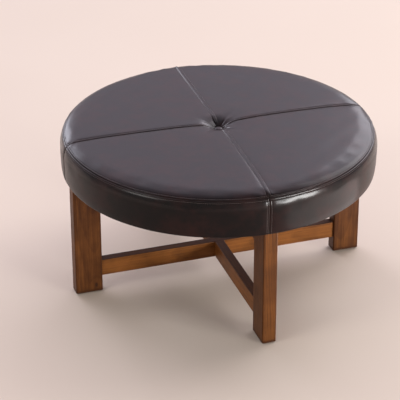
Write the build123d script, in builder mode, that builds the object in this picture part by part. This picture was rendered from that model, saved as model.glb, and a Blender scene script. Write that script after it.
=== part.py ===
from build123d import *
import os
from math import atan2, cos, degrees, hypot, radians, sin, tan

# A round leather footrest on a crossed wooden base, in millimetres. The origin is on the floor
# below the middle of the seat, +Z is up, the front is -Y, and the stretchers lie along X and Y.
os.makedirs("parts", exist_ok=True)

# Legs: flat boards with their wide faces along their own radius.
leg_length = 306.0
leg_width = 70.0
leg_thick = 36.0
leg_setback = 12.0
leg_round = 3.5
foot_chamfer = 1.5

# Felt pads stuck under the legs.
pad_thick = 2.0
pad_inset = 4.0
pad_corner = 4.0

# Low stretchers, halved into each other where they cross.
stretcher_thick = 24.0
stretcher_depth = 44.0
stretcher_level = 42.5
stretcher_ease = 1.5
stretcher_cheek = 6.0
stretcher_shoulder = 6.0
stretcher_tenon_length = 24.0

# Rails under the seat, halved the same way.
rail_thick = 24.0
rail_depth = 60.0
rail_cheek = 6.0
rail_shoulder = 6.0
rail_haunch = 14.0
rail_tenon_length = 24.0

# Half section of the cover's outer face: a band that draws in below, a rolled seam edge,
# a crown that falls slowly to a shoulder, and a dimple that the button pulls down. Each roll is
# made of straight steps.
seat_radius = 398.0
band_height = 95.7
band_tilt = 1.5
rim_roll = 5.0
seam_inset = 6.5
seam_facing = 45.0
crown_rise = 14.0
crown_fall = 3.5
crown_flat_radius = 250.0
dimple_depth = 17.5
dimple_slope = 45.0
seam_channel = 0.9
dimple_steps = 2
shoulder_steps = 3
brow_steps = 3
roll_steps = 2

# Layers of the seat, and how far each stops short of the seat's widest line.
leather_thick = 1.4
board_thick = 18.0
board_setback = 9.0
hem_width = 45.0
cloth_thick = 0.8
cloth_setback = 21.0

# Tufting button, its eye, and the doubled twine that holds it down.
button_radius = 12.0
button_height = 5.0
button_bevel = 2.0
eye_width = 5.0
eye_thick = 1.2
eye_drop = 5.0
eye_hole_radius = 1.3
cover_hole_radius = 3.2
twine_radius = 0.8
twine_spread = 2.0
twine_hole_radius = 3.2
washer_side = 18.0
washer_thick = 1.2
washer_hole_radius = 3.0
knot_radius = 4.0
knot_height = 3.0
recess_radius = 14.0
recess_depth = 6.0

# How far a cut runs past what it cuts.
overrun = 5.0

# Levels and radii that follow from the sizes above.
leg_top = pad_thick + leg_length
leg_outside = seat_radius - leg_setback
leg_inside = leg_outside - leg_width
leg_middle = leg_outside - leg_width / 2
rail_level = leg_top - rail_depth
seat_underside = leg_top + cloth_thick
board_bottom = seat_underside + leather_thick
board_top = board_bottom + board_thick
board_radius = seat_radius - board_setback
hem_radius = board_radius - hem_width
cloth_radius = seat_radius - cloth_setback
seam_level = seat_underside + band_height
crown_level = seam_level + crown_rise
button_level = crown_level - dimple_depth
recess_top = board_bottom + recess_depth
knot_top = recess_top - washer_thick
directions = {"right": 0, "back": 90, "left": 180, "front": 270}
quadrants = {"back_right": 0, "back_left": 90, "front_left": 180, "front_right": 270}


def moved(point, facing, reach):
    """The point moved by reach along the direction that is facing degrees up from level."""
    return (point[0] + reach * cos(radians(facing)), point[1] + reach * sin(radians(facing)))


def lean(point, facing):
    """How far the point lies along that direction."""
    return point[0] * cos(radians(facing)) + point[1] * sin(radians(facing))


def rolled_radius(point, facing, line_point, line_facing):
    """The radius of the arc that starts at point, facing one way, and rolls onto the line."""
    gap = lean(line_point, line_facing) - lean(point, line_facing)
    return gap / (1 - cos(radians(facing - line_facing)))


# The half section's corners, each with the way its face looks. An inset corner is moved
# against that, so every layer follows the same line.
seam = (seat_radius - seam_inset, seam_level)
crown = (crown_flat_radius, crown_level)
crown_facing = 90 - degrees(atan2(crown_fall, seam[0] - crown_flat_radius))
foot = (button_radius, button_level)
foot_facing = 90 + dimple_slope
dimple_radius = rolled_radius(foot, foot_facing, crown, 90)
dimple_centre = moved(foot, foot_facing, -dimple_radius)
rise = moved(dimple_centre, 90, dimple_radius)
shoulder_radius = rolled_radius(seam, seam_facing, crown, crown_facing)
shoulder_centre = moved(seam, seam_facing, -shoulder_radius)
fall = moved(shoulder_centre, crown_facing, shoulder_radius)
brow_radius = seam_inset / (1 - cos(radians(seam_facing)))
brow_centre = moved(seam, seam_facing, -brow_radius)
brow = moved(brow_centre, -band_tilt, brow_radius)
roll_level = seat_underside + rim_roll
roll_drop = brow[1] - roll_level
roll_centre = (brow[0] - roll_drop * tan(radians(band_tilt)) - rim_roll / cos(radians(band_tilt)), roll_level)
roll = moved(roll_centre, -band_tilt, rim_roll)
under = (roll_centre[0], seat_underside)


def rolled(centre, radius, start_facing, end_facing, steps):
    """The points of a roll about centre, in equal turns, with both ends."""
    turn = (end_facing - start_facing) / steps
    return [moved(centre, start_facing + turn * i, radius) for i in range(steps + 1)]


top_outline = [
    *rolled(dimple_centre, dimple_radius, foot_facing, 90, dimple_steps),
    crown,
    *rolled(shoulder_centre, shoulder_radius, crown_facing, seam_facing, shoulder_steps)[:-1],
    moved(seam, seam_facing, -seam_channel),
]
band_outline = [
    moved(seam, seam_facing, -seam_channel),
    *rolled(brow_centre, brow_radius, seam_facing, -band_tilt, brow_steps)[1:],
    *rolled(roll_centre, rim_roll, -band_tilt, -90, roll_steps),
]


def top_back(inset, hole):
    """The top's back, from the hole at the button to the seam: level, with a bevel at each end."""
    flat = button_level - inset
    bed = moved(fall, crown_facing, -inset)
    return [
        (hole, flat),
        (button_radius + inset * tan(radians(dimple_slope / 2)), flat),
        (rise[0], bed[1]),
        bed,
        moved(seam, seam_facing, -inset),
    ]


def half_section(angle):
    """The upright plane through the axis at that angle: x runs outwards and y runs up."""
    out = (cos(radians(angle)), sin(radians(angle)), 0)
    return Plane(origin=(0, 0, 0), x_dir=out, z_dir=(out[1], -out[0], 0))


def level_plane(angle, level):
    """The level plane at that height, with x along that direction."""
    out = (cos(radians(angle)), sin(radians(angle)), 0)
    return Plane(origin=(0, 0, level), x_dir=out, z_dir=(0, 0, 1))


def save(part, name):
    """Labels a finished piece and writes it under its own name."""
    part.label = name
    export_step(part, f"parts/{name}.step")


# Legs, each with a mortise for its stretcher and one for its rail.
for side, angle in directions.items():
    with BuildPart() as leg:
        with BuildSketch(level_plane(angle, pad_thick)):
            with Locations((leg_middle, 0)):
                RectangleRounded(leg_width, leg_thick, leg_round)
        extrude(amount=leg_length)
        chamfer(leg.edges().group_by(Axis.Z)[0], length=foot_chamfer)
        with BuildSketch(level_plane(angle, stretcher_level + stretcher_shoulder)):
            with Locations((leg_inside, 0)):
                Rectangle(2 * stretcher_tenon_length, stretcher_thick - 2 * stretcher_cheek)
        extrude(amount=stretcher_depth - 2 * stretcher_shoulder, mode=Mode.SUBTRACT)
        with BuildSketch(level_plane(angle, rail_level + rail_shoulder)):
            with Locations((leg_inside, 0)):
                Rectangle(2 * rail_tenon_length, rail_thick - 2 * rail_cheek)
        extrude(amount=rail_depth - rail_shoulder - rail_haunch, mode=Mode.SUBTRACT)
    save(leg.part, f"leg_{side}")

# Felt pads, a little smaller than the feet.
for side, angle in directions.items():
    with BuildPart() as felt_pad:
        with BuildSketch(level_plane(angle, 0)):
            with Locations((leg_middle, 0)):
                Rectangle(leg_width - 2 * pad_inset, leg_thick - 2 * pad_inset)
        extrude(amount=pad_thick)
        chamfer(felt_pad.edges().filter_by(Axis.Z), length=pad_corner)
    save(felt_pad.part, f"felt_pad_{side}")


def crossed_bar(angle, notch_on_top, level, section, ease, cheek, lower, upper, tenon):
    """A bar between two opposite legs, tenoned at both ends and halved at the middle."""
    thick, depth = section
    middle = level + depth / 2
    across = half_section(angle + 90)
    with BuildPart() as bar:
        with BuildSketch(across):
            with Locations((0, middle)):
                Rectangle(thick, depth)
        extrude(amount=leg_inside, both=True)
        if ease:
            long_edges = bar.edges().filter_by(GeomType.LINE).filter_by(lambda e: e.length > leg_inside)
            fillet(long_edges, radius=ease)
        with BuildSketch(across):
            with Locations((0, middle + (lower - upper) / 2)):
                Rectangle(thick - 2 * cheek, depth - lower - upper)
        extrude(amount=leg_inside + tenon, both=True)
        with BuildSketch(level_plane(angle, middle)):
            Rectangle(thick, thick + overrun)
        notch = depth / 2 + overrun if notch_on_top else -depth / 2 - overrun
        extrude(amount=notch, mode=Mode.SUBTRACT)
    return bar.part


# Stretchers: the left-right one runs through on top, and the front-back one passes beneath.
crossings = {"left_right": (0, False), "front_back": (90, True)}
for way, (angle, notch_on_top) in crossings.items():
    with BuildPart() as stretcher:
        add(
            crossed_bar(
                angle,
                notch_on_top,
                stretcher_level,
                (stretcher_thick, stretcher_depth),
                stretcher_ease,
                stretcher_cheek,
                stretcher_shoulder,
                stretcher_shoulder,
                stretcher_tenon_length,
            )
        )
    save(stretcher.part, f"stretcher_{way}")

# Rails: as the stretchers, but square, with a deep haunch on top so the legs keep their ends.
for way, (angle, notch_on_top) in crossings.items():
    with BuildPart() as rail:
        add(
            crossed_bar(
                angle,
                notch_on_top,
                rail_level,
                (rail_thick, rail_depth),
                0,
                rail_cheek,
                rail_shoulder,
                rail_haunch,
                rail_tenon_length,
            )
        )
    save(rail.part, f"rail_{way}")

# Seat board: plywood, bored for the twine and recessed below for the washer.
with BuildPart() as seat_board:
    with BuildSketch(Plane.XY.offset(board_bottom)):
        Circle(board_radius)
        Circle(twine_hole_radius, mode=Mode.SUBTRACT)
    extrude(amount=board_thick)
    with BuildSketch(Plane.XY.offset(board_bottom)):
        Circle(recess_radius)
    extrude(amount=recess_depth, mode=Mode.SUBTRACT)
save(seat_board.part, "seat_board")

# Foam pad: a block cut with straight bevels under the cover, hollowed below the button.
with BuildPart() as foam_pad:
    with BuildSketch(half_section(0)):
        with BuildLine():
            bevels = top_back(leather_thick, twine_hole_radius)
            side = moved(brow, -band_tilt, -leather_thick)
            tuck = (side[0] - (side[1] - board_top) * tan(radians(band_tilt)), board_top)
            Polyline(*bevels, side, tuck, (twine_hole_radius, board_top), close=True)
        make_face()
    revolve(axis=Axis.Z)
save(foam_pad.part, "foam_pad")


def sewn_edges(panel, outline):
    """The outer edges of a panel's two upright ends, where it is sewn to its neighbours."""
    middles = [((p[0] + q[0]) / 2, (p[1] + q[1]) / 2) for p, q in zip(outline, outline[1:])]
    found = []
    for edge in panel.edges().filter_by(GeomType.LINE):
        spot = edge.position_at(1 / 2)
        near = [hypot(hypot(spot.X, spot.Y) - x, spot.Z - y) < leather_thick / 2 for x, y in middles]
        found += [edge] if any(near) else []
    return found


# Top panels: four quadrants that meet at the button. Each is leather on its own wadding, thin at
# the seams and fuller where it rolls over, and its outer edges go down into the seams.
for quarter, angle in quadrants.items():
    with BuildPart() as top_panel:
        with BuildSketch(half_section(angle)):
            with BuildLine():
                back = top_back(leather_thick, cover_hole_radius)
                Polyline(*top_outline, *reversed(back), (cover_hole_radius, button_level), close=True)
            make_face()
        revolve(axis=Axis.Z, revolution_arc=90)
        chamfer(sewn_edges(top_panel, top_outline[:-1]), length=seam_channel)
    save(top_panel.part, f"top_panel_{quarter}")

# Band panels: four sides, made as the top panels, with the leather turned under as a hem.
for quarter, angle in quadrants.items():
    with BuildPart() as band_panel:
        with BuildSketch(half_section(angle)):
            with BuildLine():
                Polyline(
                    *band_outline,
                    (hem_radius, seat_underside),
                    (hem_radius, board_bottom),
                    moved(under, -90, -leather_thick),
                    moved(roll, -band_tilt, -leather_thick),
                    moved(brow, -band_tilt, -leather_thick),
                    moved(seam, seam_facing, -leather_thick),
                    close=True,
                )
            make_face()
        revolve(axis=Axis.Z, revolution_arc=90)
        chamfer(sewn_edges(band_panel, band_outline[1:-1]), length=seam_channel)
    save(band_panel.part, f"band_panel_{quarter}")

# Dust cover: black cloth over the hem's raw edge.
with BuildPart() as dust_cover:
    with BuildSketch(Plane.XY.offset(leg_top)):
        Circle(cloth_radius)
    extrude(amount=cloth_thick)
save(dust_cover.part, "dust_cover")

# Tufting button: leather over a low disc, bevelled round its top.
with BuildPart() as tuft_button:
    with BuildSketch(half_section(0)):
        with BuildLine():
            Polyline(
                (0, button_level),
                (button_radius, button_level),
                (button_radius, button_level + button_height - button_bevel),
                (button_radius - button_bevel, button_level + button_height),
                (0, button_level + button_height),
                close=True,
            )
        make_face()
    revolve(axis=Axis.Z)
save(tuft_button.part, "tuft_button")

# Eye: a flat tab below the button, round at its end, with a hole for the twine.
eye_level = button_level - eye_drop
with BuildPart() as button_eye:
    with BuildSketch(half_section(0)):
        with Locations((0, button_level - eye_drop / 2)):
            Rectangle(eye_width, eye_drop)
        with Locations((0, eye_level)):
            Circle(eye_width / 2)
            Circle(eye_hole_radius, mode=Mode.SUBTRACT)
    extrude(amount=eye_thick / 2, both=True)
save(button_eye.part, "button_eye")

# Twine: through the eye and down both sides, to a knot under the washer.
with BuildPart() as button_twine:
    with BuildLine(half_section(90)) as twine_path:
        Polyline(
            (-twine_spread, knot_top - knot_height / 2),
            (-twine_spread, eye_level),
            (twine_spread, eye_level),
            (twine_spread, knot_top - knot_height / 2),
        )
    with BuildSketch(Plane(origin=twine_path.line @ 0, z_dir=twine_path.line % 0)):
        Circle(twine_radius)
    sweep(transition=Transition.RIGHT)
    with BuildSketch(Plane.XY.offset(knot_top)):
        Circle(knot_radius)
    extrude(amount=-knot_height)
save(button_twine.part, "button_twine")

# Square washer that spreads the knot's pull on the board.
with BuildPart() as twine_washer:
    with BuildSketch(Plane.XY.offset(knot_top)):
        Rectangle(washer_side, washer_side)
        Circle(washer_hole_radius, mode=Mode.SUBTRACT)
    extrude(amount=washer_thick)
save(twine_washer.part, "twine_washer")
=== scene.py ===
import math
import random

import bpy
import numpy as np
from mathutils import Matrix, Vector


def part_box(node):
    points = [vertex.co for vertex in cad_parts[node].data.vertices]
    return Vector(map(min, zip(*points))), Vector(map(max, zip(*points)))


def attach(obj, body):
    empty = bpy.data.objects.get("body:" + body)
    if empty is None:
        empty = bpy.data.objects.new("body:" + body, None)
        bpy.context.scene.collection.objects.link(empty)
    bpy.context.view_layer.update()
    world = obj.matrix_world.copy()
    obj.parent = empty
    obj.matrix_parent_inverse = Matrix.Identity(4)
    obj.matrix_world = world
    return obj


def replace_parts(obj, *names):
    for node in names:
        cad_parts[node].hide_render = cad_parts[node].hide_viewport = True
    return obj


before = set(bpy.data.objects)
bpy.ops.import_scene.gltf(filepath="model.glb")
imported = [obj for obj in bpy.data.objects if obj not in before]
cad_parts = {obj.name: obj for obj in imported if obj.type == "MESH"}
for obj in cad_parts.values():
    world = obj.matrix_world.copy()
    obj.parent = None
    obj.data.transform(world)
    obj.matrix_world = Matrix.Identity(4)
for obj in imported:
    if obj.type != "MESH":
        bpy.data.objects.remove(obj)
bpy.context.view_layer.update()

# Legs
# Four flat legs of solid hardwood, stained walnut brown and lacquered to a satin shine.
# The grain runs up each leg, the long edges are rounded and the colour darkens towards the feet.


class Wire:
    """A value on its way through a material. Sums on it add the Math nodes that they need."""

    def __init__(self, tree, socket):
        self.tree, self.socket = tree, socket

    def feed(self, target, value):
        """Links a wire to a socket, or sets the socket to a number, a colour or a vector."""
        if isinstance(value, Wire):
            self.tree.links.new(value.socket, target)
        elif target.type == "RGBA":
            target.default_value = (*value, 1.0)
        else:
            target.default_value = value

    def node(self, kind, settings=None, sockets=None, out=0):
        """Any other node, from its type, its settings, what its sockets get, and its output."""
        made = self.tree.nodes.new(kind)
        for name, value in (settings or {}).items():
            setattr(made, name, value)
        for name, value in (sockets or {}).items():
            self.feed(made.inputs[name], value)
        return Wire(self.tree, made.outputs[out])

    def reckon(self, operation, first, second=0.0):
        return self.node("ShaderNodeMath", {"operation": operation}, {0: first, 1: second})

    def __add__(self, other):
        return self.reckon("ADD", self, other)

    def __sub__(self, other):
        return self.reckon("SUBTRACT", self, other)

    def __rsub__(self, other):
        return self.reckon("SUBTRACT", other, self)

    def __mul__(self, other):
        return self.reckon("MULTIPLY", self, other)

    def __truediv__(self, other):
        return self.reckon("DIVIDE", self, other)

    def __pow__(self, other):
        return self.reckon("POWER", self, other)

    def __abs__(self):
        return self.reckon("ABSOLUTE", self)

    __radd__, __rmul__ = __add__, __mul__

    def most(self, other):
        return self.reckon("MAXIMUM", self, other)

    def fraction(self):
        return self.reckon("FRACT", self)

    def between(self, low, high):
        """0 below low and 1 above high, with a soft step from one to the other."""
        return self.node("ShaderNodeMapRange", {"interpolation_type": "SMOOTHSTEP"},
                         {"Value": self, "From Min": low, "From Max": high})

    def tint(self, dark, light):
        """The colour dark where this is 0 and light where it is 1."""
        return self.node("ShaderNodeMix", {"data_type": "RGBA"}, {0: self, 6: dark, 7: light}, 2)

    def scaled(self, *factors):
        return self.node("ShaderNodeVectorMath", {"operation": "MULTIPLY"}, {0: self, 1: factors})

    def shifted(self, *steps):
        return self.node("ShaderNodeVectorMath", {"operation": "ADD"}, {0: self, 1: steps})

    def axis(self, index):
        return self.node("ShaderNodeSeparateXYZ", None, {0: self}, index)

    def clouds(self, scale, detail=2.0, rough=0.5):
        """Soft noise from 0 to 1, with scale in spots a metre."""
        return self.node("ShaderNodeTexNoise", None,
                         {"Vector": self, "Scale": scale, "Detail": detail, "Roughness": rough})


def new_finish(name):
    """A bare material, its shader and the place of a point on the object in metres."""
    material = bpy.data.materials.new(name)
    material.use_nodes = True
    tree = material.node_tree
    spot = tree.nodes.new("ShaderNodeTexCoord").outputs["Object"]
    return material, tree.nodes["Principled BSDF"].inputs, Wire(tree, spot)


def raise_grain(place, inputs, height, depth):
    """Height from 0 to 1 lifts the surface by as much as depth, in metres."""
    bump = place.node("ShaderNodeBump", None,
                      {"Strength": 1.0, "Distance": depth, "Height": height})
    place.feed(inputs["Normal"], bump)


def dress(node, material):
    """Gives a piece of the plain model its finish."""
    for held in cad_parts[node].material_slots:
        held.material = material


STAIN_DARK = (0.054, 0.0162, 0.0036)
STAIN_LIGHT = (0.292, 0.104, 0.0215)
KNOT_BROWN = (0.018, 0.007, 0.0035)
RING_WIDE = 0.0062
RING_SWAY, RING_LEAN, RING_WANDER = 0.030, 0.055, (0.006, 0.010)
KNOT_REACH, KNOT_PUSH, KNOT_EYE = 0.020, 0.006, (0.0022, 0.0052)
RAGGED = 0.0035
EDGE_RUBBED, EDGE_DARKER = (0.0002, 0.0034), (0.0026, 0.0095)
FOOT_DARKENING = (0.003, 0.013)
WOOD_RELIEF = 0.00016


def walnut(node, grain_axis, heart, shift, depth, knot=None):
    """Stained wood for one bar, whose grain runs along grain_axis.

    Heart is how far the tree's middle lies from the bar's, across it. Shift gives each bar a
    figure of its own. Depth darkens the whole bar: partly its own stain, partly painted light
    that leaves the stretchers, in the seat's shade, lighter than the legs.
    """
    low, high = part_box(node)
    middle, half = (low + high) / 2, (high - low) / 2
    across = [i for i in range(3) if i != grain_axis]
    across.sort(key=lambda i: -half[i])
    material, inputs, place = new_finish("walnut_" + node)
    own = place.shifted(-middle.x, -middle.y, -middle.z)
    along, wide, thick = (own.axis(i) for i in (grain_axis, *across))
    moved = place.shifted(*shift)

    def stretched(run, side):
        return moved.scaled(*(run if i == grain_axis else side for i in range(3)))

    # The year rings stand round the tree's middle, which leans and sways along the bar
    wander = stretched(2.2, 9).clouds(1.0, 2.0) - 0.5
    sway = stretched(0.9, 4).clouds(1.0, 1.0) - 0.5
    side = wide - heart[0] + sway * RING_SWAY + wander * RING_WANDER[0]
    deep = thick - heart[1] + along * RING_LEAN + wander * RING_WANDER[1]
    radius = (side * side + deep * deep) ** 0.5
    if knot:
        near = place.shifted(*(-k for k in knot)).scaled(1.0, 1.0, 0.55)
        gap = near.node("ShaderNodeVectorMath", {"operation": "LENGTH"}, {0: near}, 1)
        radius = radius + (1 - gap.between(0.0, KNOT_REACH)) * KNOT_PUSH
    year = (radius / RING_WIDE).fraction()
    late = year.between(0.35, 0.93) * (1 - year.between(0.93, 1.0))
    fibre = stretched(9, 520).clouds(1.0, 3.0, 0.65)
    strand = stretched(3, 130).clouds(1.0, 2.0, 0.6)
    pores = stretched(45, 1500).clouds(1.0, 1.0).between(0.60, 0.74)
    cloudy = moved.clouds(11.0, 3.0, 0.55)

    # Rubbed pale on the very edges, with a darker glaze just inside them
    ragged = (moved.clouds(160.0, 2.0) - 0.5) * RAGGED
    edge = (half[across[0]] - abs(wide)).most(half[across[1]] - abs(thick)) + ragged
    rub = 1 - edge.between(*EDGE_RUBBED)
    glaze = 1 - edge.between(*EDGE_DARKER)
    tone = (1.0 - depth + (fibre - 0.5) * 0.50 + (strand - 0.5) * 0.42 + (cloudy - 0.5) * 0.60
            - late * 0.08 - pores * 0.26 - glaze * 0.09 + rub * 0.08)

    # Legs darken towards the foot; level bars are duller on top and painted darker there, as the
    # seat's shade
    if grain_axis == 2:
        # the bottom centimetre of each leg is darkened towards the floor
        foot = 1 - (place.axis(2) + ragged * 2.0).between(*FOOT_DARKENING)
        tone, dull = tone - foot * 0.42, 0.0
    else:
        # painted shade: faces that look up are darkened, for the shadow the seat casts on the bars
        upper = place.node("ShaderNodeNewGeometry", None, None, 1).axis(2).between(0.6, 0.95)
        tone, dull = tone - upper * 0.50, upper * 0.30
    colour = tone.between(0.0, 1.0).tint(STAIN_DARK, STAIN_LIGHT)
    if knot:
        eye = 1 - (gap + (wander + ragged * 40.0) * 0.004).between(*KNOT_EYE)
        colour = (eye * 0.75).tint(colour, KNOT_BROWN)
    place.feed(inputs["Base Color"], colour)
    place.feed(inputs["Roughness"], 0.40 + cloudy * 0.10 + pores * 0.16 - rub * 0.05 + dull)
    relief = 0.6 - pores * 0.55 + (fibre - 0.5) * 0.25 - late * 0.10
    raise_grain(place, inputs, relief, WOOD_RELIEF)
    inputs["Specular IOR Level"].default_value = 0.17
    dress(node, material)


walnut("leg_left", 2, (0.022, 0.085), (3.1, 0.4, 0.2), 0.67, knot=(-0.333, -0.018, 0.021))
walnut("leg_right", 2, (-0.016, 0.092), (7.7, 2.4, 5.2), 0.74)
walnut("leg_front", 2, (0.012, -0.080), (1.6, 8.4, 3.2), 0.65)
walnut("leg_back", 2, (-0.020, 0.088), (5.3, 4.4, 9.2), 0.55)

# Stretchers
# Two low bars of the same wood that cross at the middle in a halved joint, each tenoned into
# two legs. Their grain runs along them and swells into long arches on the faces.
# The stretchers' lighter stain is partly painted light, making up for the seat's shade over them
walnut("stretcher_left_right", 0, (0.006, 0.060), (2.3, 6.1, 4.4), 0.44)
walnut("stretcher_front_back", 1, (-0.010, -0.066), (9.4, 1.2, 7.7), 0.40)

# Seat rails
# Two crossed bars right under the seat, tenoned into the tops of the legs. Four plated hex
# screws with washers go up through them into the seat's board, and only their heads show.
SCREW_CIRCLE = 0.200
SCREW_FLATS, SCREW_HEAD, SCREW_DISH = 0.010, 0.0048, 0.0005
WASHER_RADIUS, WASHER_THICK = 0.0080, 0.0012
WASHER_ROUND, WASHER_BEVEL = 0.0003, 0.0004

walnut("rail_left_right", 0, (0.010, 0.075), (4.9, 3.3, 1.4), 0.42)
walnut("rail_front_back", 1, (-0.012, 0.070), (8.2, 7.9, 2.6), 0.42)


def plated(name, colour, worn, rough):
    """Zinc-plated steel, with faint clouds and fine drawing marks in the plating."""
    material, inputs, place = new_finish(name)
    spangle = place.node("ShaderNodeTexVoronoi", None, {"Vector": place, "Scale": 900.0}, 1).axis(0)
    marks = place.scaled(300.0, 300.0, 6000.0).clouds(1.0, 2.0, 0.6)
    haze = place.clouds(260.0, 3.0, 0.6)
    bright = haze * 0.55 + spangle * 0.35 + marks * 0.1
    inputs["Metallic"].default_value = 1.0
    place.feed(inputs["Base Color"], bright.tint(worn, colour))
    place.feed(inputs["Roughness"], rough + haze * 0.14 + marks * 0.06)
    raise_grain(place, inputs, marks * 0.6 + haze * 0.4, 0.00003)
    return material


def put(name, data):
    """A new object in the scene, for a mesh, a lamp or a camera."""
    made = bpy.data.objects.new(name, data)
    bpy.context.scene.collection.objects.link(made)
    return made


def add_mesh(name, points, faces, material, smooth=True):
    """One piece on the footrest's only body, from its points and its faces."""
    mesh = bpy.data.meshes.new(name)
    mesh.from_pydata([tuple(map(float, p)) for p in points], [],
                     [tuple(map(int, f)) for f in faces])
    mesh.validate()
    mesh.materials.append(material)
    piece = put(name, mesh)
    for face in mesh.polygons:
        face.use_smooth = smooth
    bpy.context.view_layer.objects.active = piece
    piece.select_set(True)
    bpy.ops.object.mode_set(mode="EDIT")
    bpy.ops.mesh.select_all(action="SELECT")
    bpy.ops.mesh.normals_make_consistent(inside=False)
    bpy.ops.object.mode_set(mode="OBJECT")
    piece.select_set(False)
    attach(piece, "root")
    return piece


def turned(outline, sides, ripple=None):
    """Points and faces of a closed outline, (radius, height) from axis to axis, turned round Z."""
    points, faces, rings = [], [], []
    for k, (radius, height) in enumerate(outline):
        if radius == 0:
            points.append((0.0, 0.0, height))
            rings.append([len(points) - 1] * sides)
            continue
        ring = []
        for i in range(sides):
            angle = math.tau * i / sides
            r = radius + (ripple(k, angle) if ripple else 0.0)
            points.append((r * math.cos(angle), r * math.sin(angle), height))
            ring.append(len(points) - 1)
        rings.append(ring)
    for a, b in zip(rings, rings[1:]):
        for i in range(sides):
            j = (i + 1) % sides
            corners = list(dict.fromkeys((a[i], a[j], b[j], b[i])))
            if len(corners) > 2:
                faces.append(corners)
    return points, faces


zinc = plated("screw_zinc", (0.74, 0.73, 0.70), (0.46, 0.45, 0.42), 0.27)
washer = [(0.0, 0.0), (WASHER_RADIUS - WASHER_ROUND, 0.0), (WASHER_RADIUS, -WASHER_ROUND),
          (WASHER_RADIUS, -WASHER_THICK + WASHER_ROUND),
          (WASHER_RADIUS - WASHER_BEVEL, -WASHER_THICK), (0.0, -WASHER_THICK)]
point, end = SCREW_FLATS / math.sqrt(3), -WASHER_THICK - SCREW_HEAD
head = [(0.0, -WASHER_THICK), (point, -WASHER_THICK), (point, -WASHER_THICK - SCREW_HEAD * 0.86),
        (point * 0.90, end), (point * 0.55, end), (point * 0.48, end + SCREW_DISH),
        (0.0, end + SCREW_DISH)]
rail_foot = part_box("rail_left_right")[0].z
points, faces = [], []
for turn in range(4):
    way = turn * math.pi / 2
    centre = Vector((math.cos(way), math.sin(way), 0.0)) * SCREW_CIRCLE + Vector((0, 0, rail_foot))
    for outline, sides in ((washer, 32), (head, 6)):
        some, sheets = turned(outline, sides)
        start = len(points)
        points += [Vector(p) + centre for p in some]
        faces += [[start + i for i in sheet] for sheet in sheets]
screws = add_mesh("seat_screws", points, faces, zinc, smooth=False)

# Felt pads
# A thin pad of pressed brown felt glued under each foot, so that the legs don't mark a floor.
# It is set in a little from the leg's edge, its corners are round and its rim is soft.
FELT_DARK = (0.050, 0.036, 0.026)
FELT_LIGHT = (0.165, 0.125, 0.092)
PAD_CORNER, CORNER_STEPS = 0.004, 5
PAD_RIM = ((0.0, -0.0009), (0.12, -0.0003), (0.5, 0.0002), (0.88, -0.0002), (1.0, -0.0008))

felt, inputs, place = new_finish("pressed_felt")
hairs = place.scaled(1.0, 1.0, 0.4).clouds(2600.0, 4.0, 0.7)
mat = place.clouds(420.0, 3.0, 0.6)
brown = (hairs * 0.55 + mat * 0.45).between(0.2, 0.8)
place.feed(inputs["Base Color"], brown.tint(FELT_DARK, FELT_LIGHT))
place.feed(inputs["Roughness"], 0.90 + hairs * 0.1)
raise_grain(place, inputs, hairs * 0.6 + mat * 0.4, 0.0004)
inputs["Sheen Weight"].default_value = 0.35
inputs["Sheen Roughness"].default_value = 0.6


def tube_faces(rings, sides, start=0):
    """Faces round a row of rings and over its two ends. Start is its first point's number."""
    faces = []
    for k in range(rings - 1):
        near, far = start + k * sides, start + (k + 1) * sides
        for i in range(sides):
            j = (i + 1) % sides
            faces.append((near + i, near + j, far + j, far + i))
    for ring in (0, rings - 1):
        faces.append([start + ring * sides + i for i in range(sides)])
    return faces


for side in ("left", "right", "front", "back"):
    low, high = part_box("felt_pad_" + side)
    middle, half = (low + high) / 2, (high - low) / 2
    shape = []
    for quarter in range(4):
        for step in range(CORNER_STEPS + 1):
            angle = (quarter + step / CORNER_STEPS) * math.pi / 2
            cx = (half.x - PAD_CORNER) * (1 if quarter in (0, 3) else -1)
            cy = (half.y - PAD_CORNER) * (1 if quarter in (0, 1) else -1)
            shape.append((middle.x + cx, middle.y + cy, math.cos(angle), math.sin(angle)))
    points = []
    for level, grow in PAD_RIM:
        reach, height = PAD_CORNER + grow, low.z + (high.z - low.z) * level
        points += [(x + dx * reach, y + dy * reach, height) for x, y, dx, dy in shape]
    pad = add_mesh("felt_under_leg_" + side, points, tube_faces(len(PAD_RIM), len(shape)), felt)
    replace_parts(pad, "felt_pad_" + side)

# Seat board
# A round of raw birch plywood that carries the padding, with the veneers showing as thin
# stripes round its edge. The leather's hem is stapled to its underside.
PLY_COUNT = 13
PLY_PALE = (0.66, 0.50, 0.32)
PLY_DARK = (0.36, 0.22, 0.11)

plywood, inputs, place = new_finish("birch_plywood")
low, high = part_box("seat_board")
layer = (place.axis(2) - low.z) * (PLY_COUNT / (high.z - low.z))
other = (layer * 0.5).fraction().between(0.49, 0.51)
glue = 1 - abs(layer.fraction() - 0.5).between(0.40, 0.47)
figure = place.scaled(2.0, 60.0, 900.0).clouds(1.0, 4.0, 0.6)
cross = place.scaled(60.0, 2.0, 900.0).clouds(1.0, 4.0, 0.6)
veneer = figure * (1 - other) + cross * other
tone = (veneer.between(0.25, 0.75) * 0.75 + 0.25) * (0.45 + glue * 0.55)
place.feed(inputs["Base Color"], tone.tint(PLY_DARK, PLY_PALE))
place.feed(inputs["Roughness"], 0.62 + veneer * 0.2)
raise_grain(place, inputs, veneer, 0.0002)
dress("seat_board", plywood)

# Leather cover
# Eight cut pieces of dark brown leather on thin wadding: four quarters on top, lapped at the
# seams that run front to back, and four lengths of the side band. They are sewn together, drawn
# down over the foam and stapled under the board.
MM = 0.001

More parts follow.
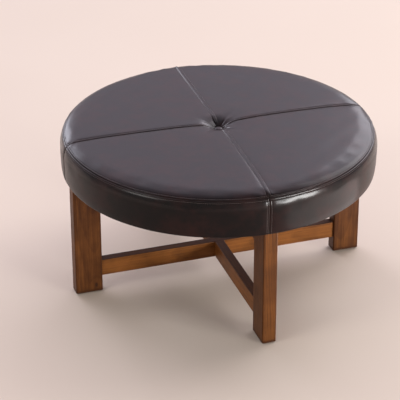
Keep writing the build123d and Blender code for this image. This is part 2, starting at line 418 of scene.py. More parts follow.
# Its outline, as radius and height: the button's foot, the crown with its hollow and dimple, and
# the arcs of the rim, each with its centre, radius, and first and last angle in degrees
COVER_START = 0.0045
BUTTON_FOOT = (0.0120, 0.4010)
CROWN, CROWN_FROM, CROWN_TO = 0.4218, 0.070, (0.3638, 0.41565)
HOLLOW_DEEP, HOLLOW_WIDE = 0.0048, 0.100
DIMPLE_EDGE, DIMPLE_WIDE = 0.4060, 0.037
DIMPLE_DEEP = CROWN - DIMPLE_EDGE - HOLLOW_DEEP
SHOULDER = (0.36286, 0.37757, 0.0381, 88.6, 45)
BROW = (0.31406, 0.36591, 0.0850, 27, 16)
BROW_LOW = (0.35251, 0.37694, 0.0450, 16, -1.5)
ROLL = (0.39104, 0.31380, 0.0050, -1.5, -90)
HEM_TO = 0.3440
SMOOTHED = 25

# How thick it is, and how far from the hem's end it gets thin, lies flat and is held
LINED, HEM_THICK = 0.0046, 0.0013
HEM_THIN, HEM_THINS, HEM_FLAT, HEM_FLATTENS, HEM_HELD = 0.056, 0.02, 0.052, 0.004, 0.050

# What its surface does, as heights or depths and as widths
PUFF = 0.0016
SEAM_DEPTH, SEAM_WIDTH, SEAM_SHARP = 0.0021, 0.0012, 1.3
STITCH_GAP, STITCH_CREASE, CREASE_WIDE = 0.0055, 0.00045, 0.0011
LIP_DEEP, LIP_WIDE = 0.0014, 0.0034
LAP_OVER, LAP_UNDER, LAP_WIDE, LAP_NARROWS = 0.0019, 0.0005, 0.0044, 0.86
LAP_FADES, LAP_FROM, LAP_GROWS = 0.02, 0.016, 0.03
DIP_DEEP, DIP_WIDE = 0.0007, 0.0085
FOLD_OVER, FOLD_UNDER, FOLD_WIDE = 0.00045, -0.00015, 0.0030
WAVE_HIGH, WAVE_COUNT = 0.00004, 14
RIPPLE_HIGH, RIPPLE_COUNT, RIPPLE_IN, RIPPLE_WIDE = 0.00010, 10, 0.012, 0.013
TUCK_DEEP, TUCK_COUNT, TUCK_FROM, TUCK_GROWS, TUCK_FULL = 0.0013, 22, 0.009, 0.008, 0.014

# How far the seams at the right, back, left and front wander from the legs at some radii
SEAM_RADII = (0.020, 0.100, 0.200, 0.300, 0.391)
SEAM_WANDER = ((0.0, 0.003, 0.0055, 0.0065, 0.001), (0.0, -0.001, -0.003, -0.0055, -0.010),
               (0.0, -0.003, -0.010, -0.017, -0.019), (0.0, -0.0015, -0.0025, -0.0035, -0.008))


def arc(centre_r, centre_z, radius, first, last):
    """Points of an arc of the outline, about a fifth of a millimetre apart."""
    first, last = math.radians(first), math.radians(last)
    count = max(4, int(abs(last - first) * radius / 0.0002))
    return [(centre_r + radius * math.cos(a), centre_z + radius * math.sin(a))
            for a in np.linspace(first, last, count)]


def bell(distance, width):
    return np.exp(-(distance / width) ** 2)


def spots(angle, radius, height):
    """Points at an angle round Z, a radius and a height."""
    x, y = radius * np.cos(angle), radius * np.sin(angle)
    return np.stack(np.broadcast_arrays(x, y, height), -1)


def sheet_faces(grid):
    """Faces of a net of points, row by row."""
    corners = [grid[:-1, :-1], grid[:-1, 1:], grid[1:, 1:], grid[1:, :-1]]
    return np.stack(corners, -1).reshape(-1, 4).tolist()


def edge_faces(border, step):
    """Faces round a shell's edge, from its border to the points that are step further on."""
    after = np.roll(border, -1)
    return np.stack([border, after, after + step, border + step], -1).tolist()


def cover_outline():
    """The leather's outside from under the button over the rim to the hem, as radius and height."""
    line = [(r, BUTTON_FOOT[1]) for r in np.arange(COVER_START, BUTTON_FOOT[0], 0.0004)]
    for r in np.r_[np.arange(BUTTON_FOOT[0], 0.060, 0.0003), np.arange(0.060, CROWN_TO[0], MM)]:
        fall = max(0.0, (r - CROWN_FROM) / (CROWN_TO[0] - CROWN_FROM))
        hollow = max(0.0, 1 - (r - BUTTON_FOOT[0]) / HOLLOW_WIDE)
        dimple = max(0.0, 1 - (r - BUTTON_FOOT[0]) / DIMPLE_WIDE)
        line.append((r, CROWN - (CROWN - CROWN_TO[1]) * fall ** 2 - HOLLOW_DEEP * hollow ** 2
                     - DIMPLE_DEEP * dimple ** 2))
    line += arc(*SHOULDER)
    rim = len(line)
    line += arc(*BROW)[1:]
    line += arc(*BROW_LOW)[1:]
    top_r, top_z = line[-1]
    low_r, low_z = ROLL[0] + ROLL[2] * math.cos(math.radians(ROLL[3])), ROLL[1] - 0.0001
    line += [(top_r + (low_r - top_r) * t, top_z + (low_z - top_z) * t)
             for t in np.linspace(0, 1, 200)[1:]]
    line += arc(*ROLL)[1:]
    line += [(r, ROLL[1] - ROLL[2]) for r in np.arange(ROLL[0] - MM, HEM_TO - MM / 2, -MM)]
    return np.array(line), rim


outline, rim_at = cover_outline()
steps = np.hypot(*np.diff(outline, axis=0).T)
keep = np.r_[True, steps > 1e-7]
length = np.r_[0.0, np.cumsum(steps)]
RIM = float(length[rim_at - 1])
outline, length = outline[keep], length[keep]
END = float(length[-1])
slope = np.pad(np.gradient(outline, length, axis=0), ((SMOOTHED // 2,) * 2, (0, 0)), "edge")
slope = np.stack([np.convolve(column, np.ones(SMOOTHED) / SMOOTHED, "valid")
                  for column in slope.T], 1)
slope /= np.hypot(*slope.T)[:, None]


def skin(run):
    """Radius, height and outward direction of the cover at a run along its outline."""
    r, z = (np.interp(run, length, outline[:, i]) for i in (0, 1))
    tr, tz = (np.interp(run, length, slope[:, i]) for i in (0, 1))
    return r, z, -tz, tr


def run_at_radius(radius):
    """How far along its outline the top has come at a radius."""
    return np.interp(radius, outline[:rim_at - 1, 0], length[:rim_at - 1])


GRID_ROUND, GRID_STEP = 160, 0.0085


def blown_cover():
    """Blows the sewn cover up from inside, with its seams held. Gives its rows and their rise."""
    rows = np.unique(np.r_[np.linspace(0, RIM, int(RIM / GRID_STEP)),
                           np.linspace(RIM, END, int((END - RIM) / GRID_STEP))])
    angles = np.arange(GRID_ROUND) * math.tau / GRID_ROUND
    quarter = GRID_ROUND // 4
    r, z, nr, nz = skin(rows)
    r, z = r - nr * PUFF * 0.5, z - nz * PUFF * 0.5
    count = len(rows)
    points = spots(angles[:, None], r, z).reshape(-1, 3)
    grid = np.arange(GRID_ROUND * count).reshape(GRID_ROUND, count)
    mesh = bpy.data.meshes.new("cover_form")
    mesh.from_pydata(points.tolist(), [], sheet_faces(np.vstack([grid, grid[:1]])))
    mesh.update()
    form = put("cover_form", mesh)
    rim_row = int(np.argmin(abs(rows - RIM)))
    held = [i * count + j for i in range(GRID_ROUND) for j in range(count)
            if i % quarter == 0 or j in (0, 1, rim_row, count - 1) or rows[j] > END - HEM_HELD]
    form.vertex_groups.new(name="sewn").add(held, 1.0, "REPLACE")
    cloth = form.modifiers.new("cloth", "CLOTH").settings
    cloth.quality, cloth.mass = 6, 0.5
    cloth.tension_stiffness = cloth.compression_stiffness = 30.0
    cloth.shear_stiffness, cloth.bending_stiffness = 12.0, 3.0
    cloth.vertex_group_mass = "sewn"
    cloth.use_pressure, cloth.uniform_pressure_force = True, 4.0
    cloth.shrink_min = -0.004
    cloth.effector_weights.gravity = 0.0
    scene = bpy.context.scene
    for moment in range(1, 21):
        scene.frame_set(moment)
    now = form.evaluated_get(bpy.context.evaluated_depsgraph_get()).to_mesh()
    after = np.array([v.co for v in now.vertices])
    scene.frame_set(1)
    bpy.data.objects.remove(form)
    out = spots(angles[:, None], nr, nz).reshape(-1, 3)
    rise = ((after - points) * out).sum(1).reshape(GRID_ROUND, count)
    return rows, PUFF * np.tanh(rise / PUFF) - PUFF * 0.8


cover_rows, cover_rise = blown_cover()


def swell(angle, run):
    """The blown cover's rise at any angle and run, through smooth cubic patches."""
    def weights(t):
        return ((-t ** 3 + 2 * t ** 2 - t) / 2, (3 * t ** 3 - 5 * t ** 2 + 2) / 2,
                (-3 * t ** 3 + 4 * t ** 2 + t) / 2, (t ** 3 - t ** 2) / 2)

    last = len(cover_rows) - 1
    i = np.mod(angle, math.tau) / math.tau * GRID_ROUND
    j = np.interp(run, cover_rows, np.arange(last + 1))
    i0, j0 = np.floor(i).astype(int), np.minimum(np.floor(j).astype(int), last - 1)
    total = 0.0
    for a, wa in zip(range(-1, 3), weights(i - i0)):
        for b, wb in zip(range(-1, 3), weights(j - j0)):
            total = total + wa * wb * cover_rise[(i0 + a) % GRID_ROUND, np.clip(j0 + b, 0, last)]
    return total


chance = random.Random(41)
tucks = [(chance.uniform(0, math.tau), chance.uniform(0.3, 1.0), chance.uniform(0.07, 0.15),
          chance.uniform(0.018, 0.050)) for _ in range(TUCK_COUNT)]
waves = [(chance.uniform(-1, 1), chance.uniform(-1, 1), chance.uniform(0, math.tau),
          chance.uniform(25, 75)) for _ in range(WAVE_COUNT)]
ripples = [(chance.randint(24, 95), chance.uniform(0, math.tau), chance.uniform(0.4, 1.0))
           for _ in range(RIPPLE_COUNT)]


def drift(angle, r):
    """How far a point's angle moves with the seams beside it, which wander from the legs."""
    turn = np.mod(angle, math.tau) / (math.pi / 2)
    quarter = np.floor(turn).astype(int) % 4
    share = turn - np.floor(turn)
    share = share * share * (3 - 2 * share)
    moved = np.stack([np.interp(r, SEAM_RADII, row) for row in SEAM_WANDER]) / np.maximum(r, 0.03)
    first = np.take_along_axis(moved, quarter[None], 0)[0]
    second = np.take_along_axis(moved, (quarter[None] + 1) % 4, 0)[0]
    return first + (second - first) * share


def leather_at(angle, run):
    """Points of the cover's outside, how deep in a seam each lies, and the way it faces."""
    angle, run = np.broadcast_arrays(np.asarray(angle, float), np.asarray(run, float))
    r, z, nr, nz = skin(run)
    x, y = r * np.cos(angle), r * np.sin(angle)
    across, along = abs(y), abs(x)
    gap, rim_gap = np.minimum(across, along), run - RIM
    side_seam = across < along
    rise = swell(angle, run) + PUFF * 0.3

    # Long soft waves, short ripples inside the rim, and tucks that run out from the button
    for a, b, phase, rate in waves:
        rise = rise + WAVE_HIGH * np.sin((a * x + b * y) * rate * 1.6 + (z - CROWN) * rate + phase)
    for turns, phase, size in ripples:
        rise = rise + (RIPPLE_HIGH * size * np.sin(turns * angle + phase)
                       * bell(rim_gap + RIPPLE_IN, RIPPLE_WIDE))
    for where, size, width, reach in tucks:
        off = np.mod(angle - where + math.pi, math.tau) - math.pi
        fade = np.exp(-np.clip(r - TUCK_FULL, 0, 1) / reach * 1.6)
        fade = np.clip((r - TUCK_FROM) / TUCK_GROWS, 0, 1) * fade
        rise = rise - TUCK_DEEP * size * bell(off, width) * fade

    # The lip inside the rim, the laps and dips on top, and the folded edge along each seam
    rise = rise - LIP_DEEP * np.clip(1 - abs(rim_gap) / LIP_WIDE, 0, 1) ** 2 * (rim_gap < 0)
    on_top = np.clip(-rim_gap / LAP_FADES, 0, 1)
    off_button = np.clip((r - LAP_FROM) / LAP_GROWS, 0, 1)
    over = np.where(side_seam, y > 0, x < 0)
    lapped = np.where(over, LAP_OVER, LAP_UNDER) * bell(gap, LAP_WIDE)
    dipped = -DIP_DEEP * bell(gap, DIP_WIDE)
    rise = rise + np.where(side_seam, dipped, lapped) * on_top * off_button
    rise = rise + np.where(over, FOLD_OVER, FOLD_UNDER) * bell(gap, FOLD_WIDE)

    # The seams themselves, and the creases under the stitches on both sides of them
    narrow = np.where(side_seam, 1.0, 1 - LAP_NARROWS * on_top)
    seam = (narrow * np.exp(-(gap / (SEAM_WIDTH * narrow)) ** SEAM_SHARP)
            + np.exp(-(abs(rim_gap) / SEAM_WIDTH) ** SEAM_SHARP))
    seam = np.minimum(seam, 1.0)
    crease = (bell(gap - STITCH_GAP, CREASE_WIDE) * (abs(rim_gap) > STITCH_GAP * 0.9)
              + bell(abs(rim_gap) - STITCH_GAP, CREASE_WIDE))
    flat = 1 - np.clip((run - (END - HEM_FLAT)) / HEM_FLATTENS, 0, 1)
    sunk = SEAM_DEPTH * seam + STITCH_CREASE * np.minimum(crease, 1.0)
    rise = rise * flat - sunk * np.maximum(flat, 0.25)
    angle = angle + drift(angle, r)
    return spots(angle, r + nr * rise, z + nz * rise), seam, spots(angle, nr, nz)


def inside_at(angle, run):
    """Points of the wadding's inside, a smooth shell under the outside."""
    r, z, nr, nz = skin(run)
    padded = np.clip((END - HEM_THIN - run) / HEM_THINS, 0, 1)
    thick = HEM_THICK + (LINED - HEM_THICK) * padded
    return spots(angle + drift(angle, r), r - nr * thick, z - nz * thick)


# The net of points: its distances from the seams and the rim, and its radii over the dimple
EDGE_GAPS = np.array([0.1, 0.4, 0.8, 1.3, 2.0, 2.8, 3.7, 4.6, 5.5, 6.4, 7.6, 9.5, 13.0, 18.0]) * MM
RIM_GAPS = np.array([0.0, 0.4, 0.8, 1.3, 2.0, 2.8, 3.7, 4.6, 5.5, 6.4, 7.6, 9.5, 12.5, 16.0]) * MM
DIMPLE_RADII = np.array([4.5, 7, 9.5, 12, 14, 16, 18.5, 21, 24, 27, 30.5, 34, 38, 43, 48, 54, 61,
                         69, 78, 88, 99]) * MM
MIDDLE_COLUMNS = 30

top_rows = np.r_[run_at_radius(DIMPLE_RADII),
                 np.linspace(run_at_radius(0.110), RIM - 0.0195, 32), RIM - RIM_GAPS[::-1]]
band_rows = np.r_[RIM + RIM_GAPS, np.linspace(RIM + 0.0205, END - 0.0585, 12),
                  np.linspace(END - 0.0545, END - 0.0455, 8), np.linspace(END - 0.040, END, 5)]


def quarter_angles(run):
    """Angles of a quarter's columns at each run. They keep even distances from the two seams."""
    r = skin(run)[0]
    near = np.minimum(1.0, r * 0.55 / EDGE_GAPS[-1])
    first = np.arcsin(EDGE_GAPS[None, :] * near[:, None] / r[:, None])
    share = np.linspace(0, 1, MIDDLE_COLUMNS + 2)[None, 1:-1]
    middle = first[:, -1:] + (math.pi / 2 - 2 * first[:, -1:]) * share
    return np.hstack([first, middle, math.pi / 2 - first[:, ::-1]])


# The finish: a pebbled grain, wine-red clouds, seams paler beside them (partly rubbed wear, partly
# a painted sheen on their lips), and a polish that is strongest on the brow of the band
LEATHER_DARK = (0.0022, 0.0010, 0.0011)
LEATHER_WARM = (0.0150, 0.0037, 0.0031)
LEATHER_WORN_SHEEN = (0.0480, 0.0280, 0.0240)
SEAM_BLACK = (0.002, 0.0016, 0.0016)
POLISH_FROM, POLISH_TO = (0.376, 0.389), (0.3990, 0.4035)

leather, inputs, place = new_finish("espresso_leather")
warp = place.node("ShaderNodeTexNoise", None, {"Vector": place, "Scale": 120.0, "Detail": 1.0}, 1)
bent = warp.node("ShaderNodeVectorMath", {"operation": "MULTIPLY_ADD"},
                 {0: warp, 1: (0.004, 0.004, 0.004), 2: place})
pebble, fold = (bent.node("ShaderNodeTexVoronoi", {"feature": "DISTANCE_TO_EDGE"},
                          {"Vector": bent, "Scale": scale}).between(0.0, groove)
                for scale, groove in ((560.0, 0.30), (95.0, 0.12)))
clouds = place.clouds(13.0, 4.0, 0.62)
blush = place.shifted(4.2, 1.7, 0.0).clouds(34.0, 3.0, 0.6)
seam_mark = place.node("ShaderNodeAttribute", {"attribute_name": "seam"}, None, 2)
# paler beside the seams: partly rubbed wear and partly a painted sheen, the light that the seams'
# lips catch
seam_wear_and_sheen = seam_mark.between(0.04, 0.25) * (1 - seam_mark.between(0.25, 0.65))
body = (clouds * 0.65 + blush * 0.35).between(0.40, 0.68).tint(LEATHER_DARK, LEATHER_WARM)
body = (seam_wear_and_sheen * (0.25 + blush * 0.35)).tint(body, LEATHER_WORN_SHEEN)
body = (seam_mark.between(0.5, 1.0) * 0.8).tint(body, SEAM_BLACK)
rough = 0.44 + (clouds - 0.5) * 0.14 + (1 - pebble) * 0.08 + (blush - 0.5) * 0.06
height = place.axis(2)
polish = height.between(*POLISH_FROM) * (1 - height.between(*POLISH_TO))
place.feed(inputs["Base Color"], body)
place.feed(inputs["Roughness"], rough)
raise_grain(place, inputs, pebble * 0.6 + fold * 0.25 + blush * 0.15, 0.000018)
place.feed(inputs["Coat Weight"], 0.54 + polish * 0.46)
inputs["Coat IOR"].default_value = 1.34
inputs["Coat Roughness"].default_value = 0.22
inputs["Specular IOR Level"].default_value = 0.07


def cover_piece(name, rows, quarter):
    """One cut piece of the cover as a closed shell: leather outside, wadding inside."""
    angles = quarter_angles(rows) + quarter * math.pi / 2
    runs = np.tile(rows[:, None], (1, angles.shape[1]))
    outer, seam, _ = leather_at(angles, runs)
    inner = inside_at(angles, runs)
    points = np.vstack([outer.reshape(-1, 3), inner.reshape(-1, 3)])
    grid = np.arange(angles.size).reshape(angles.shape)
    border = np.r_[grid[0, :], grid[1:, -1], grid[-1, -2::-1], grid[-2:0:-1, 0]]
    faces = sheet_faces(grid) + sheet_faces(grid + angles.size) + edge_faces(border, angles.size)
    piece = add_mesh(name, points, faces, leather)
    marks = piece.data.attributes.new("seam", "FLOAT", "POINT")
    marks.data.foreach_set("value", np.r_[seam.ravel(), np.ones(angles.size)].astype(np.float32))
    return piece


for index, corner in enumerate(("back_right", "back_left", "front_left", "front_right")):
    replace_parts(cover_piece("leather_top_" + corner, top_rows, index), "top_panel_" + corner)
    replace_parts(cover_piece("leather_band_" + corner, band_rows, index), "band_panel_" + corner)

# Foam pad
# A block of cream polyurethane foam glued to the board, cut round and crowned, with open cells
# all over. The button's twine draws its middle down, and the leather hides it.
FOAM_PALE = (0.78, 0.70, 0.48)
FOAM_DEEP = (0.42, 0.34, 0.20)
FOAM_UNDER, FOAM_HOLE, FOAM_SIDES = 0.0052, 0.0040, 96
FOAM_RADII = np.array([6, 9, 12, 16, 21, 27, 34, 43, 54, 75, 110, 160, 220, 280, 330, 360]) * MM

foam, inputs, place = new_finish("cream_foam")
cells = place.node("ShaderNodeTexVoronoi", None, {"Vector": place, "Scale": 520.0})
wall = 1 - cells.between(0.15, 0.75)
patch = place.clouds(30.0, 3.0, 0.6)
place.feed(inputs["Base Color"], (wall * 0.7 + patch * 0.3).tint(FOAM_DEEP, FOAM_PALE))
place.feed(inputs["Roughness"], 0.85 + patch * 0.15)
raise_grain(place, inputs, wall, 0.0006)

board_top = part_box("seat_board")[1].z
r, z, nr, nz = skin(np.r_[run_at_radius(FOAM_RADII), np.linspace(run_at_radius(0.366), RIM, 8),
                          np.linspace(RIM, END - 0.075, 9)[1:]])
shape = list(zip(r - nr * FOAM_UNDER, z - nz * FOAM_UNDER))
shape = [(FOAM_HOLE, board_top), *shape, (shape[-1][0], board_top)]
points, faces = turned(shape, FOAM_SIDES)
last_ring = FOAM_SIDES * (len(shape) - 1)
faces += edge_faces(np.arange(FOAM_SIDES) + last_ring, -last_ring)
foam_block = add_mesh("foam_block", points, faces, foam)
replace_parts(foam_block, "foam_pad")

# Topstitching
# Two rows of heavy dark thread run beside every seam, one on each side, and flatten the turned
# edges under the leather. Each stitch dips into its holes at both ends.
STITCH_PITCH, STITCH_LONG = 0.0042, 0.0034
THREAD_WIDE, THREAD_HIGH, THREAD_SIDES = 0.00042, 0.00032, 6
STITCH_RINGS = ((0.0, -0.00035, 0.7), (0.14, 0.00012, 1.0), (0.5, 0.00020, 1.05),
                (0.86, 0.00012, 1.0), (1.0, -0.00035, 0.7))
RIM_CLEAR, CROSSING_CLEAR = 0.0085, 0.0035
RIM_RADIUS = 0.3898
THREAD_DARK = (0.020, 0.013, 0.012)
THREAD_LIGHT = (0.105, 0.072, 0.064)

thread, inputs, place = new_finish("heavy_thread")
twist = place.node("ShaderNodeTexWave", {"bands_direction": "DIAGONAL"},
                   {"Vector": place, "Scale": 900.0, "Distortion": 2.0, "Detail": 1.0}, 1)
fuzz = place.clouds(3000.0, 2.0)
place.feed(inputs["Base Color"], (twist * 0.7 + fuzz * 0.3).tint(THREAD_DARK, THREAD_LIGHT))
place.feed(inputs["Roughness"], 0.42 + fuzz * 0.2)
raise_grain(place, inputs, twist, 0.0001)


def stitch_row(begin, end):
    """Stitches from one line of points on the cover to another, each as angles and runs."""
    starts, _, out = leather_at(*begin)
    ahead = leather_at(*end)[0] - starts
    side = np.cross(out, ahead)
    side /= np.linalg.norm(side, axis=1)[:, None]
    points, faces = [], []
    for share, lift, girth in STITCH_RINGS:
        for i in range(THREAD_SIDES):
            a = math.tau * i / THREAD_SIDES
            points.append(starts + ahead * share + out * (lift + THREAD_HIGH * girth * math.sin(a))
                          + side * (THREAD_WIDE * girth * math.cos(a)))
    for n in range(len(starts)):
        faces += tube_faces(len(STITCH_RINGS), THREAD_SIDES, n * len(points))
    return np.stack(points, 1).reshape(-1, 3), faces


def sew(name, rows):
    """Rows of stitches as one piece."""
    points, faces, start = [], [], 0
    for some, sheets in rows:
        points.append(some)
        faces += [[start + c for c in sheet] for sheet in sheets]
        start += len(some)
    sewing = add_mesh(name, np.vstack(points), faces, thread)


def seam_row(turn, hand, first, last):
    """One row beside a seam, from its first run to its last."""
    lines = []
    for share in (0.0, STITCH_LONG / STITCH_PITCH):
        run = np.arange(first, last, STITCH_PITCH) + share * STITCH_PITCH
        lines.append((turn * math.pi / 2 + hand * np.arcsin(STITCH_GAP / skin(run)[0]), run))
    return stitch_row(*lines)


def rim_row(hand):
    """One row beside the rim's seam, which leaves the crossings with the other seams free."""
    run = RIM + hand * STITCH_GAP
    count = int(math.tau * float(skin(run)[0]) / STITCH_PITCH / 4) * 4
    pitch = math.tau / count
    angle = (np.arange(count) + 0.1) * pitch
    from_seam = np.minimum(np.mod(angle, math.pi / 2), math.pi / 2 - np.mod(angle, math.pi / 2))
    angle = angle[from_seam * RIM_RADIUS > CROSSING_CLEAR]
    return stitch_row((angle, run), (angle + STITCH_LONG / STITCH_PITCH * pitch, run))


for label, first, last in (("top", run_at_radius(0.030), RIM - RIM_CLEAR),
                           ("band", RIM + RIM_CLEAR, END - HEM_HELD)):
    sew("stitching_" + label + "_seams",
        [seam_row(turn, hand, first, last) for turn in range(4) for hand in (-1, 1)])
sew("stitching_rim_seam", [rim_row(hand) for hand in (-1, 1)])

# Tufting button
# A shell button covered with the same leather, gathered round its edge. A wire eye under it is
# tied with doubled waxed twine through the foam and the board to a small square washer.
low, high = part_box("tuft_button")
BUTTON_RADIUS, BUTTON_HIGH = (high.x - low.x) / 2, high.z - low.z
BUTTON_SHAPE = ((0.0, 1.0), (0.12, 0.998), (0.25, 0.985), (0.40, 0.955), (0.55, 0.895),
                (0.70, 0.80), (0.83, 0.66), (0.93, 0.48), (0.985, 0.28), (1.0, 0.12),
                (0.97, -0.02), (0.90, -0.08), (0.0, -0.08))
GATHER_HIGH, GATHER_COUNT, GATHER_RING = 0.00022, 18, 8
TWINE_PALE = (0.72, 0.66, 0.54)
TWINE_DARK = (0.40, 0.33, 0.23)


def gathers(ring, angle):
    """Small pleats round the button's edge, from GATHER_RING of its shape down."""
    share = 1.0 if ring >= GATHER_RING else 0.25 if ring == GATHER_RING - 1 else 0.0
    return GATHER_HIGH * math.sin(GATHER_COUNT * angle + 0.7 * math.sin(3 * angle)) * share


shape = [(a * (BUTTON_RADIUS - 0.0003), low.z + b * BUTTON_HIGH) for a, b in BUTTON_SHAPE]
points, faces = turned(shape, 72, gathers)
button = add_mesh("leather_button", points, faces, leather)
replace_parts(button, "tuft_button")

eye_steel = plated("eye_zinc", (0.70, 0.69, 0.66), (0.42, 0.41, 0.38), 0.30)
dress("button_eye", eye_steel)
dress("twine_washer", eye_steel)
twine, inputs, place = new_finish("waxed_twine")
lay = place.node("ShaderNodeTexWave", {"bands_direction": "DIAGONAL"},
                 {"Vector": place, "Scale": 320.0, "Distortion": 1.5, "Detail": 2.0}, 1)
hair = place.clouds(2200.0, 3.0, 0.6)
place.feed(inputs["Base Color"], (lay * 0.6 + hair * 0.4).tint(TWINE_DARK, TWINE_PALE))
place.feed(inputs["Roughness"], 0.55 + hair * 0.3)
raise_grain(place, inputs, lay * 0.8 + hair * 0.2, 0.0003)
dress("button_twine", twine)

# Dust cover
# A round of thin black non-woven cloth, pulled tight under the seat over the leather's hem and
# stapled all round. It sags a hair between the rails and puckers a little at the staples.
low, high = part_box("dust_cover")
COVER_RADIUS, CLOTH_THICK, CLOTH_SIDES = (high.x - low.x) / 2, high.z - low.z, 224
SAG_DEEP, SAG_WIDE, SAG_RIM, RAIL_EDGE = 0.0022, 0.06, 0.09, 0.020
PUCKER_DEEP, PUCKER_IN, PUCKER_WIDE = 0.00035, 0.012, 0.018
PUCKER_FROM, PUCKER_GROWS = 0.022, 0.01
STAPLE_COUNT, STAPLE_INSET, STAPLE_LONG, STAPLE_WIRE = 56, 0.0065, 0.0105, 0.0006
STAPLE_LEG, STAPLE_BEND, STAPLE_SIDES, RAIL_CLEAR = 0.0012, 0.0005, 6, 0.027
CLOTH_DARK = (0.010, 0.010, 0.011)
CLOTH_LIGHT = (0.040, 0.040, 0.043)

cloth, inputs, place = new_finish("black_non_woven")
fibres = place.scaled(1.0, 1.0, 0.2).clouds(900.0, 4.0, 0.7)
emboss = place.node("ShaderNodeTexVoronoi", {"feature": "F1"}, {"Vector": place, "Scale": 420.0})
dots = 1 - emboss.between(0.12, 0.34)
black = (fibres * 0.7 + dots * 0.3).between(0.25, 0.85)
place.feed(inputs["Base Color"], black.tint(CLOTH_DARK, CLOTH_LIGHT))
place.feed(inputs["Roughness"], 0.88 - dots * 0.18)
raise_grain(place, inputs, fibres * 0.5 + (1 - dots) * 0.5, 0.00022)
inputs["Sheen Weight"].default_value = 0.15

rings = np.r_[0.0012, np.linspace(0.02, 0.30, 20),
              np.linspace(0.31, COVER_RADIUS - 0.0006, 12), COVER_RADIUS]
angle = np.arange(CLOTH_SIDES) * math.tau / CLOTH_SIDES
radius = rings[:, None] * np.ones(CLOTH_SIDES)[None, :]
gap = np.minimum(abs(radius * np.sin(angle)), abs(radius * np.cos(angle)))
clear = np.clip((gap - RAIL_EDGE) / SAG_WIDE, 0, 1)
sag = SAG_DEEP * clear ** 2 * (3 - 2 * clear)
sag = sag * np.clip((COVER_RADIUS - PUCKER_IN - radius) / SAG_RIM, 0, 1) ** 1.5
pucker = PUCKER_DEEP * (0.5 + 0.5 * np.cos(STAPLE_COUNT * angle))
pucker = pucker * bell(radius - COVER_RADIUS + PUCKER_IN, PUCKER_WIDE)
pucker = pucker * np.clip((gap - PUCKER_FROM) / PUCKER_GROWS, 0, 1)
bottom = low.z - sag - pucker
top = bottom + CLOTH_THICK
bottom[-1] += CLOTH_THICK * 0.3
top[-1] -= CLOTH_THICK * 0.3
points = np.vstack([spots(angle, radius, level).reshape(-1, 3) for level in (bottom, top)])
grid = np.arange(radius.size).reshape(radius.shape)
faces = []
for net in (grid, grid + radius.size):
    faces += sheet_faces(np.hstack([net, net[:, :1]])) + [net[0].tolist()]
faces += edge_faces(grid[-1], radius.size)
dust_cloth = add_mesh("dust_cloth", points, faces, cloth)
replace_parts(dust_cloth, "dust_cover")

half, wire = STAPLE_LONG / 2, STAPLE_WIRE / 2
path = [(-half, -STAPLE_LEG), (-half, 0.0002), (-half + STAPLE_BEND, STAPLE_BEND),
        (half - STAPLE_BEND, STAPLE_BEND), (half, 0.0002), (half, -STAPLE_LEG)]
down = Vector((0, 0, -1.0))
points, faces = [], []
for where in (np.arange(STAPLE_COUNT) + 0.5) * math.tau / STAPLE_COUNT:
    side = Vector((math.cos(where), math.sin(where), 0.0))
    ahead = Vector((-side.y, side.x, 0.0))
    centre = side * (COVER_RADIUS - STAPLE_INSET) + Vector((0, 0, low.z))
    if min(abs(centre.x), abs(centre.y)) < RAIL_CLEAR:
        continue
    faces += tube_faces(len(path), STAPLE_SIDES, len(points))
    for k, (along, deep) in enumerate(path):
        outward = ahead if k in (0, len(path) - 1) else down
        for i in range(STAPLE_SIDES):
            a = math.tau * i / STAPLE_SIDES
            points.append(centre + ahead * along + down * deep + side * (math.sin(a) * wire)
                          + outward * (math.cos(a) * wire))
staples = add_mesh("cover_staples", points, faces, zinc)

# Floor, light and camera
# A plain pale studio floor, in a room that is dim in front and bright behind. Five soft windows
# stand far and low in front on the right and behind on both sides, and nearer and higher on the
# right and the left. A card lying on the floor sends some light up under the seat.
FLOOR_PALE = (0.630, 0.548, 0.458)
FLOOR_SOFT = (0.668, 0.586, 0.497)
FLOOR_HALF = 30
SEAT_MIDDLE = (0, 0, 0.40)
ROOM_BEHIND = (0.25, 0.93, 0.26)
ROOM_WARM, ROOM_COOL = (1.0, 0.95, 0.91), (0.961, 0.852, 1.0)
CAMERA_AT = (-1.3175, -3.8517, 2.3760)
CAMERA_PAN, CAMERA_TILT, CAMERA_ROLL = 18.225, 28.124, -0.095
CAMERA_LENS = 162.26

floor_finish, inputs, place = new_finish("plain_floor")
place.feed(inputs["Base Color"], place.clouds(1.2, 2.0).tint(FLOOR_PALE, FLOOR_SOFT))
place.feed(inputs["Roughness"], 0.80 + place.clouds(6.0) * 0.1)
inputs["Specular IOR Level"].default_value = 0.2
floor_mesh = bpy.data.meshes.new("floor")
floor_mesh.from_pydata([(-FLOOR_HALF, -FLOOR_HALF, 0), (FLOOR_HALF, -FLOOR_HALF, 0),
                        (FLOOR_HALF, FLOOR_HALF, 0), (-FLOOR_HALF, FLOOR_HALF, 0)],
                       [], [(0, 1, 2, 3)])
floor_mesh.materials.append(floor_finish)
floor = put("floor", floor_mesh)


def window(name, towards, distance, wide, tall, radiance, colour, facing=None):
    """A soft light as bright all over as radiance says. It faces the seat, or away from facing."""
    lamp = bpy.data.lights.new(name, "AREA")
    lamp.shape, lamp.size, lamp.size_y = "ELLIPSE" if facing else "RECTANGLE", wide, tall
    lamp.energy = radiance * math.pi * wide * tall
    lamp.color = colour
    away = Vector(towards).normalized()
    holder = put(name, lamp)
    holder.location = Vector(SEAT_MIDDLE) + away * distance
    holder.rotation_euler = Vector(facing or away).to_track_quat("Z", "Y").to_euler()
    holder.visible_camera = False


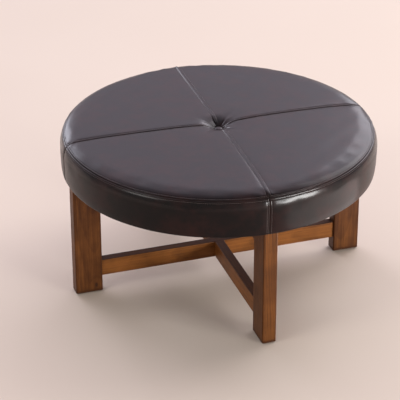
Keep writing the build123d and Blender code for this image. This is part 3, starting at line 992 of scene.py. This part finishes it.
window("window_front_right", (0.60, -0.800, 0.086), 12.0, 5.30, 2.65, 34.0, (1.0, 0.985, 0.97))
window("window_behind_left", (-0.265, 0.920, 0.29), 14.0, 6.1, 6.3, 6.2, (0.89, 0.89, 1.0))
window("window_behind_right", (0.705, 0.600, 0.37), 14.0, 9.5, 6.4, 3.9, (0.95, 0.93, 1.0))
window("window_right", (0.72, 0.20, 0.66), 3.6, 1.7, 1.9, 3.9, (1.0, 0.96, 0.95))
window("window_left", (-0.84, -0.24, 0.48), 3.6, 1.3, 1.3, 5.0, (1.0, 0.96, 0.93))
window("floor_card", (0.78, -0.64, -0.385), 1.080, 1.05, 0.95, 1.7, (1.0, 0.86, 0.83),
       facing=(0, 0, -1))

world = bpy.data.worlds.new("room")
bpy.context.scene.world = world
world.use_nodes = True
tree = world.node_tree
direction = Wire(tree, tree.nodes.new("ShaderNodeTexCoord").outputs["Generated"])
behind = direction.node("ShaderNodeVectorMath", {"operation": "DOT_PRODUCT"},
                        {0: direction, 1: ROOM_BEHIND}, 1)
seen = direction.node("ShaderNodeLightPath")
above = direction.axis(2).between(0.0, 0.42)
upper = direction.axis(2).between(0.36, 0.66)
glow = 0.33 + above * (0.05 + behind.between(0.20, 0.95) * (0.97 + upper * 1.06))
background = tree.nodes["Background"].inputs
direction.feed(background["Color"], behind.between(-0.5, 0.6).tint(ROOM_WARM, ROOM_COOL))
direction.feed(background["Strength"], glow * (1 - seen) + seen * 0.94)

camera_data = bpy.data.cameras.new("camera")
camera_data.lens, camera_data.sensor_width = CAMERA_LENS, 36.0
camera = put("camera", camera_data)
pan, tilt, roll = (math.radians(v) for v in (CAMERA_PAN, CAMERA_TILT, CAMERA_ROLL))
ahead = Vector((math.sin(pan) * math.cos(tilt), math.cos(pan) * math.cos(tilt), -math.sin(tilt)))
level = Vector((math.cos(pan), -math.sin(pan), 0.0))
right = level * math.cos(roll) + level.cross(ahead) * math.sin(roll)
up = right.cross(ahead)
turn = Matrix((right, up, -ahead)).transposed().to_4x4()
camera.matrix_world = Matrix.Translation(CAMERA_AT) @ turn
bpy.context.scene.camera = camera
bpy.context.scene.view_settings.view_transform = "Standard"
